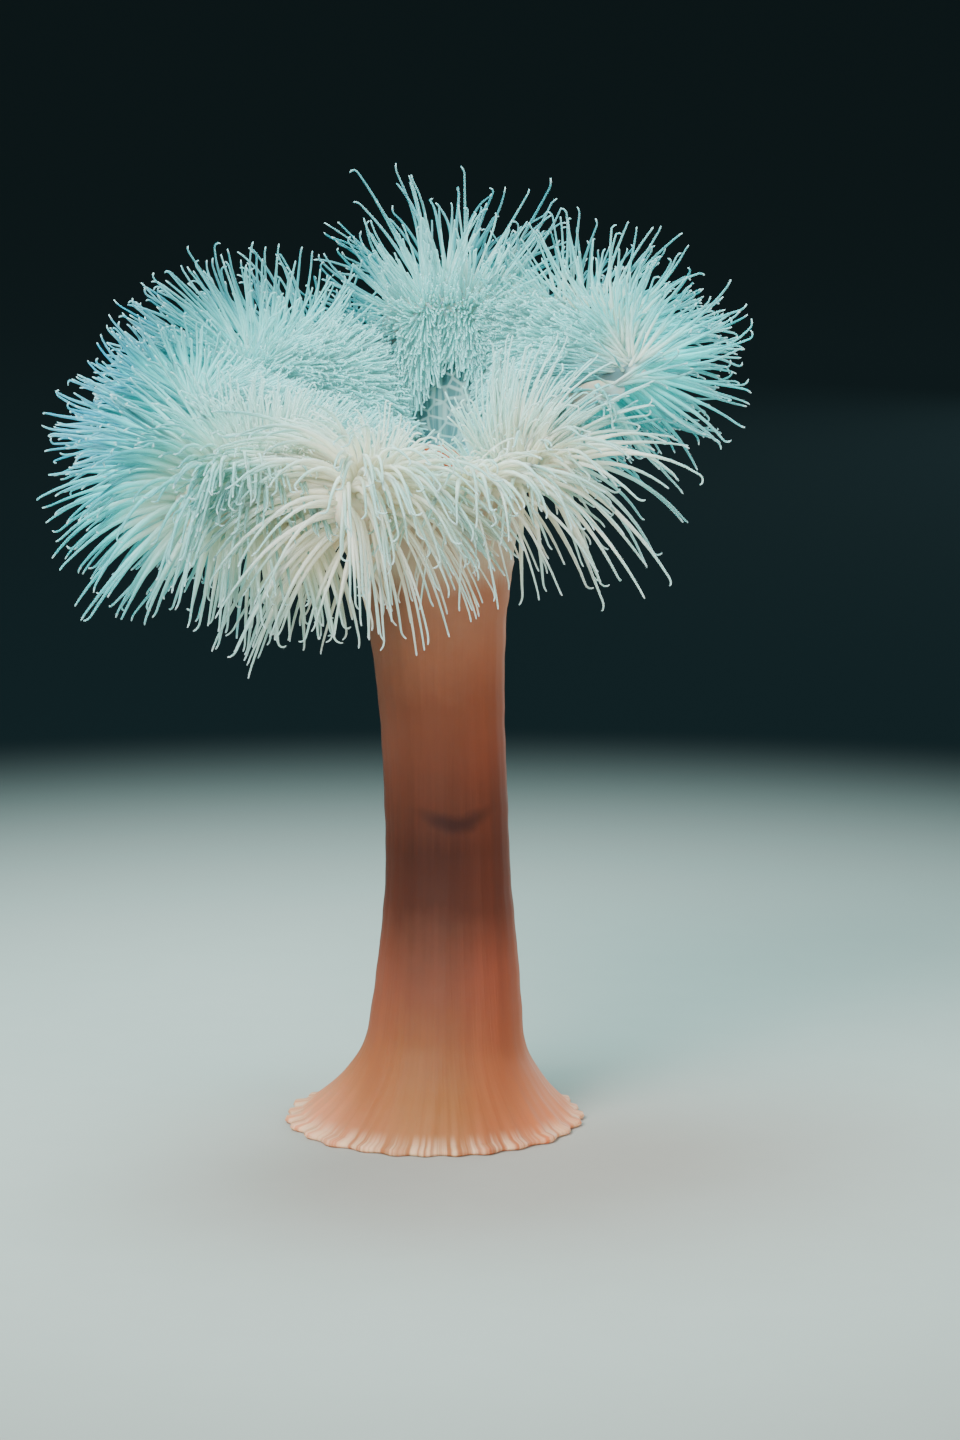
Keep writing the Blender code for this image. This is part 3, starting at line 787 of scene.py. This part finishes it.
def make_feelers(grid, first):
    """Two pieces of feelers for each lobe: the long outer ones, and the short ones that face the mouth."""
    coat = read_coat(grid, first)
    ridge, aside = part_at_ridges(coat)
    start = first_ways(coat, aside)
    line, place = grow(coat, start, feeler_lengths(coat))
    girth = feeler_girths(coat)
    crest = np.maximum(bell(coat.share - 0.605 - 0.03 * np.sin(coat.angle), 0.055), ridge)
    # Values that the material reads; cleft and hollow darken the feelers there as painted shade
    traits = {
        "inner": coat.inner,
        "crest": crest,
        "cleft": coat.cleft,
        "fanned": coat.fanned * coat.inner,
        "hollow": coat.hollow,
    }
    up = (coat.row - coat.row.min()) / (coat.row.max() - coat.row.min())
    every = slice(None)
    pieces = []
    for i, node in enumerate(LOBES):
        name = node.replace("lobe", "feelers")
        kinds = ((name, coat.inner < 0.5, every), (name + "_inner", coat.inner >= 0.5, INNER_STEPS))
        for title, kind, steps in kinds:
            mine = (coat.lobe == i) & kind
            away = wrap(coat.col[mine] * 360.0 / AROUND - LOBE_MIDDLES[i])
            u = (0.5 + away / LOBE_SPREAD) * COAT_MAP
            v = up[mine] * COAT_MAP
            piece = feeler_tubes(title, line[mine][:, steps], place[steps], girth[mine], u, v)
            for label, values in traits.items():
                add_value(piece, label, np.repeat(values[mine], len(place[steps]) * SIDES))
            pieces.append((node, piece))
    return pieces


# -------- materials

class Value:
    """A socket of a material; arithmetic on it adds Math nodes."""

    def __init__(self, paint, socket):
        self.paint = paint
        self.socket = socket

    def math(self, operation, *others, flipped=False):
        terms = [self, *others]
        if flipped:
            terms.reverse()
        return self.paint.add("ShaderNodeMath", {"operation": operation}, dict(enumerate(terms)))

    def __add__(self, other):
        return self.math("ADD", other)

    def __sub__(self, other):
        return self.math("SUBTRACT", other)

    def __rsub__(self, other):
        return self.math("SUBTRACT", other, flipped=True)

    def __mul__(self, other):
        return self.math("MULTIPLY", other)

    def __truediv__(self, other):
        return self.math("DIVIDE", other)

    def __rtruediv__(self, other):
        return self.math("DIVIDE", other, flipped=True)

    __radd__ = __add__
    __rmul__ = __mul__


class Paint:
    """A Principled material whose nodes are added one by one."""

    def __init__(self, name, constants):
        self.material = bpy.data.materials.new(name)
        self.material.use_nodes = True
        self.tree = self.material.node_tree
        self.shader = self.tree.nodes["Principled BSDF"]
        for socket, value in constants.items():
            self.shader.inputs[socket].default_value = value

    def add(self, kind, settings, sockets, output=0):
        """Add a node: its settings first, then the values or links of its sockets."""
        node = self.tree.nodes.new(kind)
        for name, value in settings.items():
            if name == "stops":
                self.set_stops(node.color_ramp, value)
            else:
                setattr(node, name, value)
        for name, value in sockets.items():
            self.put(node.inputs[name], value)
        return Value(self, node.outputs[output])

    def put(self, socket, value):
        """Give a socket a link or a plain value."""
        if isinstance(value, Value):
            self.tree.links.new(value.socket, socket)
        else:
            socket.default_value = value

    @staticmethod
    def set_stops(ramp, stops):
        """Set a ramp's stops from (place, colour) pairs."""
        while len(ramp.elements) < len(stops):
            ramp.elements.new(1.0)
        for element, (place, colour) in zip(ramp.elements, stops):
            element.position = place
            element.color = (*colour, 1.0)

    def blend(self, factor, low, high):
        """Mix two colours."""
        low, high = (c if isinstance(c, Value) else (*c, 1.0) for c in (low, high))
        return self.add("ShaderNodeMix", {"data_type": "RGBA"}, {0: factor, 6: low, 7: high}, 2)

    def layers(self, colour, *others):
        """Lay other colours over a colour, each as far as its factor says."""
        for factor, other in others:
            colour = self.blend(factor, colour, other)
        return colour

    def ramp(self, factor, stops):
        """A colour ramp."""
        return self.add("ShaderNodeValToRGB", {"stops": stops}, {0: factor})

    def step(self, value, low, high):
        """Ease from 0 to 1 while a value goes from low to high."""
        sockets = {0: value, 1: low, 2: high, 3: 0.0, 4: 1.0}
        return self.add("ShaderNodeMapRange", {"interpolation_type": "SMOOTHSTEP"}, sockets)

    def noise(self, place, scale, detail, rough):
        """Noise of 0 to 1."""
        sockets = {"Vector": place, "Scale": scale, "Detail": detail, "Roughness": rough}
        return self.add("ShaderNodeTexNoise", {}, sockets)

    def number(self, name):
        """A number stored on the mesh's points."""
        return self.add("ShaderNodeAttribute", {"attribute_name": name}, {}, 2)

    def position(self):
        """The place in the part's own frame, as a vector and its three parts, in metres."""
        where = self.add("ShaderNodeTexCoord", {}, {}, 3)
        split = self.add("ShaderNodeSeparateXYZ", {}, {0: where}).socket.node
        return where, *(Value(self, out) for out in split.outputs)

    def vector(self, x, y, z):
        """A vector from three numbers."""
        return self.add("ShaderNodeCombineXYZ", {}, {0: x, 1: y, 2: z})

    def bump(self, height, depth, strength):
        """Let a height feed the shader's normal, with its depth in metres."""
        normal = self.add("ShaderNodeBump", {}, {"Strength": strength, "Distance": depth, "Height": height})
        self.put(self.shader.inputs["Normal"], normal)

    def glow(self, colour):
        """Feed the colour of the shader's own light."""
        self.put(self.shader.inputs["Emission Color"], colour)

    def finish(self, colour, roughness):
        """Feed the colour and the roughness."""
        self.put(self.shader.inputs["Base Color"], colour)
        self.put(self.shader.inputs["Roughness"], roughness)
        return self.material


# The column's colours from the foot to the neck, as shares of COLUMN_SPAN millimetres
COLUMN_SPAN = 120.0
COLUMN_STOPS = (
    (0.00, (0.34, 0.14, 0.060)),
    (0.06, (0.255, 0.101, 0.037)),
    (0.14, (0.188, 0.068, 0.033)),
    (0.195, (0.150, 0.051, 0.029)),
    (0.24, (0.118, 0.041, 0.025)),
    (0.28, (0.086, 0.029, 0.0175)),
    (0.32, (0.054, 0.0165, 0.0107)),
    (0.40, (0.043, 0.0130, 0.0083)),
    (0.45, (0.068, 0.0205, 0.012)),
    (0.52, (0.105, 0.032, 0.017)),
    (0.61, (0.148, 0.049, 0.025)),
    (0.68, (0.25, 0.098, 0.054)),
    (0.78, (0.40, 0.19, 0.115)),
)
SKIN = {
    "Subsurface Weight": 0.45,
    "Subsurface Scale": 0.003,
    "Subsurface Radius": (1.0, 0.38, 0.2),
    "Specular IOR Level": 0.12,
}
FEELER_SKIN = {
    "Subsurface Weight": 1.0,
    "Subsurface Scale": 0.0018,
    "Subsurface Radius": (1.0, 0.95, 0.85),
    "Specular IOR Level": 0.12,
    # A faint painted glow, standing in for light scattered through the feelers
    "Emission Strength": 0.115,
}
SCAR_PLACE = (0.0035, 0.0528)  # middle of the dark scar on the column's front, across and up, in metres
SCAR_SIZE = (0.0048, 0.0013)
SCAR_SAG = 0.0013  # how far its ends hang


def column_colour(paint, x, y, z, height, noises):
    """Salmon foot, orange column with a dark belt and a scar, streaks along it, a painted sheen on the upper
    left and a painted glow towards its edges.
    """
    lines, fine, cloud = noises
    level = height + (lines - 0.5) * 5.0 + (cloud - 0.5) * 9.0
    belt = paint.step(height, 26.0, 38.0) * paint.step(height, 68.0, 55.0)
    # Painted glow: light shining through the column reddens its right side towards the edge, low down and less
    # in the belt
    painted_right_glow = paint.step(x, 0.001, 0.013) * paint.step(height, 75.0, 50.0) * (1.0 - belt * 0.75)
    flanks = paint.step((x - 0.0005).math("ABSOLUTE"), 0.010, 0.024)
    flank = paint.blend(paint.step(x, -0.012, 0.012), (0.82, 0.31, 0.17), (0.82, 0.25, 0.10))
    # Painted glow: a deeper orange towards both edges of the column, as light shines through them
    rim = paint.step(x.math("ABSOLUTE"), 0.003, 0.0105) * (1.0 - belt * 0.6)
    # Painted sheen: a cool, pale gleam on the upper left of the column
    painted_sheen = paint.step(x, -0.002, -0.010) * paint.step(height, 54.0, 70.0)
    streak = paint.step(lines, 0.45, 0.72) * 0.07 + paint.step(fine, 0.5, 0.75) * 0.05
    across = (x - SCAR_PLACE[0]) / SCAR_SIZE[0]
    sag = (across * across).math("MINIMUM", 1.6) * SCAR_SAG
    up = (z - SCAR_PLACE[1] - sag + (cloud - 0.5) * 0.004) / SCAR_SIZE[1]
    scar = paint.step((across * across + up * up).math("SQRT"), 1.7, 0.2) * paint.step(y, 0.0, -0.002)
    return paint.layers(
        paint.ramp(level / COLUMN_SPAN, COLUMN_STOPS),
        (painted_right_glow * 0.16, (0.36, 0.035, 0.018)),
        (flanks * 0.8, flank),
        (rim * 0.24, (0.42, 0.105, 0.048)),
        (painted_sheen * 0.22, (0.22, 0.13, 0.10)),
        (streak, (0.13, 0.035, 0.02)),
        (scar * 0.85, (0.025, 0.009, 0.008)),
    )


def skin_paint():
    """Wet flesh: salmon foot, orange column with a dark belt, pale neck, blue-grey disc and orange lips."""
    paint = Paint("anemone_flesh", SKIN)
    where, x, y, z = paint.position()
    ring = paint.number("ring")
    turn = y.math("ARCTAN2", x - 0.001)
    cos_turn = turn.math("COSINE")
    sin_turn = turn.math("SINE")
    height = z * 1000.0

    def round_noise(waves, up, scale, detail, rough):
        return paint.noise(paint.vector(cos_turn * waves, sin_turn * waves, up), scale, detail, rough)

    lines = round_noise(7.0, z * 14.0, 1.6, 3.0, 0.6)
    fine = round_noise(26.0, z * 60.0, 1.3, 2.0, 0.6)
    cloud = paint.noise(where, 70.0, 5.0, 0.65)
    rays = round_noise(24.0, z * 8.0, 1.0, 2.0, 0.5)
    radial = round_noise(18.0, ring * 0.2, 1.2, 2.0, 0.5)
    edge = paint.step(height, 3.2, 0.4) * paint.step(rays, 0.35, 0.65)
    collar = paint.step(height + (cloud - 0.5) * 6.0 + (fine - 0.5) * 5.0, 90.5, 98.0)
    # The lobes' crest is teal-grey behind and stays cream in front: partly its own colour, partly painted cool
    # light from above and behind
    crest = paint.step(ring, 3.6, 5.4) * (1.0 - paint.step(y, -0.004, -0.020) * 0.85)
    cells = {"Vector": where, "Scale": 430.0}
    net = paint.add("ShaderNodeTexVoronoi", {"feature": "DISTANCE_TO_EDGE"}, cells)
    disc = paint.layers(
        paint.blend(paint.step(radial, 0.4, 0.65), (0.05, 0.15, 0.16), (0.12, 0.27, 0.27)),
        (paint.step(net, 0.14, 0.03) * 0.6, (0.30, 0.50, 0.48)),
    )
    lips, throat = (0.58, 0.13, 0.05), (0.10, 0.022, 0.014)
    colour = paint.layers(
        column_colour(paint, x, y, z, height, (lines, fine, cloud)),
        (edge * 0.60, (0.95, 0.66, 0.44)),
        (collar, (0.58, 0.44, 0.31)),
        (paint.step(ring, 1.6, 4.0), (0.86, 0.74, 0.58)),
        (paint.step(ring, 4.2, 5.4), (0.92, 0.86, 0.72)),
        (crest, (0.52, 0.70, 0.67)),
        # Painted shade in the folds and gaps between the lobes
        (paint.number("cleft") * 0.9, (0.02, 0.06, 0.07)),
        (paint.step(ring, 9.2, 9.7).math("MAXIMUM", paint.number("window")), disc),
        (paint.step(ring, 12.8, 13.3), lips),
        (paint.step(ring, 14.3, 16.2), throat),
    )
    paint.bump(lines * 0.25 + fine * 0.2 + cloud * 0.5, 0.0004, 0.5)
    return paint.finish(colour, 0.50 + cloud * 0.18)


def feeler_paint():
    """Thin translucent feelers: milky, clearer at the tip, cool above and to the left and creamy in front
    (partly painted light), with painted shade, highlight and glow.
    """
    paint = Paint("feeler_flesh", FEELER_SKIN)
    where, x, y, z = paint.position()
    along = paint.number("along")
    fanned = paint.number("fanned")
    inner = paint.number("inner")
    cloud = paint.noise(where, 40.0, 2.0, 0.5)
    # Warm and creamy in front and low down, cool above and behind: partly the feelers' own colour, partly
    # painted warm and cool light
    front = paint.step(y + (cloud - 0.5) * 0.02, 0.003, -0.021)
    warm = front * paint.step(x + (cloud - 0.5) * 0.02, -0.056, -0.020) * paint.step(z, 0.138, 0.114)
    warm = warm.math("MAXIMUM", fanned * paint.step(along, 1.3, 0.3))
    # Painted shade on the right, where the inner sides of the lobes lie in shadow
    right = paint.step(x, 0.012, 0.028) * paint.step(z, 0.131, 0.122)

    root = paint.blend(warm, (0.18, 0.74, 0.71), (0.97, 0.82, 0.60))
    milk = paint.blend(warm, (0.04, 0.78, 0.79), (0.95, 0.97, 0.76))
    clear = paint.blend(warm, (0.006, 0.14, 0.18), (0.20, 0.40, 0.35))
    clearer = paint.step(along, 0.38, 0.85) * (1.0 - inner * 0.6) * (1.0 - fanned * 0.35)
    # Painted shade: the inner sides, which face the mouth, greyer, and darker still on the right
    grey = paint.blend(right, (0.36, 0.74, 0.69), (0.12, 0.40, 0.39))
    dusk = paint.step(cloud, 0.45, 0.68) * (1.0 - warm) * (1.0 - inner * 0.6)
    # Painted shade in the folds and gaps between the lobes
    cleft = (paint.number("cleft") * (1.0 - inner * 0.7)).math("MAXIMUM", paint.number("hollow")) * 0.8
    # Painted shade: the highest feelers darker away from their roots, more on the left than the right and less
    # on the inner sides
    raised = z - inner * 0.011 - paint.step(x, -0.02, 0.035) * 0.010
    high = paint.step(raised, 0.118, 0.139) * paint.step(along, -0.15, 0.38) * (1.0 - inner * 0.5)
    # Painted cool blue light on the upper feelers at the far left, towards their ends
    blue = paint.step(x, -0.042, -0.062) * paint.step(z, 0.106, 0.118) * paint.step(along, 0.25, 0.8)
    crest = paint.number("crest") * paint.step(along, 0.66, 0.08)
    # Crest colour, pink on the right and low down, cool on the upper left: partly its own colour, partly
    # painted cool light
    pinker = paint.step(x, -0.005, 0.018).math("MAXIMUM", paint.step(z, 0.124, 0.112))
    pink = paint.blend(pinker, (0.48, 0.86, 0.82), (0.98, 0.84, 0.66))
    neck = paint.step((x * x + y * y).math("SQRT"), 0.033, 0.021) * paint.step(z, 0.112, 0.103)
    # Painted highlight: a bright dot at the tip of each outer feeler
    tip = paint.step(along, 0.95, 1.0) * (1.0 - inner * 0.85)
    colour = paint.layers(
        root,
        (paint.step(along, 0.05, 0.45 + warm * 0.4), milk),
        (clearer * 0.85, clear),
        (inner * (1.0 - warm) * 0.6, grey),
        (dusk * 0.45, (0.04, 0.42, 0.46)),
        (cleft, (0.006, 0.10, 0.12)),
        (high * 0.92, (0.002, 0.085, 0.115)),
        (blue * 0.65, (0.01, 0.22, 0.46)),
        (crest * 0.8, paint.blend(warm, pink, (1.0, 0.93, 0.78))),
        (neck * 0.9, (0.76, 0.55, 0.37)),
        (tip * 0.6, (0.60, 0.96, 0.96)),
        (paint.number("shade") * (0.42 - inner * 0.3 - warm * 0.1), (0.16, 0.46, 0.48)),
    )
    paint.bump(paint.noise(where, 900.0, 2.0, 0.5), 0.0002, 0.35)
    # Painted glow, standing in for light scattered through the mass of feelers: greyer inside, darker on the
    # right, in the folds and towards the outer ends
    glow = paint.layers(
        paint.blend(warm, (0.02, 0.86, 0.81), (0.80, 0.90, 0.62)),
        (inner * 0.8, paint.blend(right, (0.46, 0.72, 0.68), (0.15, 0.32, 0.31))),
        (cleft, (0.0, 0.02, 0.02)),
        (paint.step(along, 0.30, 0.90) * (1.0 - inner) * 0.8, (0.0, 0.12, 0.13)),
    )
    paint.glow(glow)
    return paint.finish(colour, 0.42 + cloud * 0.12)


def floor_paint():
    """A plain pale floor that falls off into shade away from the part."""
    paint = Paint("studio_floor", {"Emission Strength": 1.0, "Specular IOR Level": 0.0})
    where, x, y, _ = paint.position()
    away = (x * x + y * y).math("SQRT")
    grain = paint.noise(where, 90.0, 4.0, 0.6)
    colour = paint.layers(
        paint.blend(paint.step(away, 0.08, 0.38), (0.42, 0.41, 0.38), (0.005, 0.008, 0.009)),
        (grain * 0.12 * paint.step(away, 0.38, 0.08), (0.20, 0.20, 0.19)),
    )
    # The floor far away gives off a faint painted glow in the surround's colour
    paint.glow(paint.blend(paint.step(away, 0.2, 1.5), (0.0, 0.0, 0.0), SURROUND))
    return paint.finish(colour, 0.62 + grain * 0.1)


# -------- studio

FLOOR_HALF = 25.0
CROWN = (0.0, 0.0, 0.11)
# Soft square lamps: name, place, what it looks at, size in metres, power and colour
LAMPS = (
    ("key", (-0.45, -0.60, 0.75), CROWN, 0.45, 14.5, (0.95, 1.0, 0.98)),
    ("top", (-0.15, 0.25, 0.90), CROWN, 0.45, 13.0, (0.42, 0.95, 1.0)),
    ("fill", (0.65, -0.55, 0.25), (0.0, 0.0, 0.06), 0.60, 5.0, (1.0, 0.93, 0.86)),
    ("front", (-0.35, -1.0, 0.45), (0.0, 0.0, 0.09), 0.70, 12.0, (1.0, 0.97, 0.93)),
    ("back", (0.55, 0.85, 0.40), (0.0, 0.0, 0.08), 0.80, 12.0, (0.80, 1.0, 1.0)),
)
CAMERA_AIM = Vector((7.7 * MM, 0.0, 68.5 * MM))
CAMERA_TILT = math.radians(10.0)
CAMERA_DISTANCE = 0.75


def make_floor():
    """A wide floor under the part."""
    corners = [(x * FLOOR_HALF, y * FLOOR_HALF, 0.0) for x, y in ((-1, -1), (1, -1), (1, 1), (-1, 1))]
    floor = mesh_of("studio_floor", np.array(corners), np.array(((0, 1, 2, 3),)))
    floor.data.materials.append(floor_paint())


def add_thing(name, data, place, looking):
    """Put a lamp or a camera in the scene, looking in a direction."""
    thing = bpy.data.objects.new(name, data)
    thing.location = place
    thing.rotation_euler = looking.to_track_quat("-Z", "Y").to_euler()
    bpy.context.scene.collection.objects.link(thing)
    return thing


def make_studio():
    """Soft lights and a dim slate surround."""
    for name, place, aim, size, power, colour in LAMPS:
        lamp = bpy.data.lights.new(name, "AREA")
        lamp.size = size
        lamp.energy = power
        lamp.color = colour
        add_thing(name, lamp, place, Vector(aim) - Vector(place)).visible_camera = False
    world = bpy.data.worlds.new("studio")
    world.use_nodes = True
    surround = world.node_tree.nodes["Background"]
    surround.inputs["Color"].default_value = (*SURROUND, 1.0)
    surround.inputs["Strength"].default_value = 1.0
    bpy.context.scene.world = world


def make_camera():
    """A long lens, a little above the crown's middle, looking slightly down."""
    back = Vector((0.0, -math.cos(CAMERA_TILT), math.sin(CAMERA_TILT)))
    lens = bpy.data.cameras.new("camera")
    lens.lens = 112.5
    lens.sensor_width = 36.0
    lens.clip_start = 0.01
    lens.clip_end = 100.0
    bpy.context.scene.camera = add_thing("camera", lens, CAMERA_AIM + back * CAMERA_DISTANCE, -back)


def main():
    grid, first = body_grid()
    skin = make_skin(grid, first)
    skin.data.materials.append(skin_paint())
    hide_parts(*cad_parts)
    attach(skin, "root")
    finish = feeler_paint()
    for node, piece in make_feelers(grid, first):
        piece.data.materials.append(finish)
        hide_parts(node)
        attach(piece, "root")
    make_floor()
    make_studio()
    make_camera()


main()
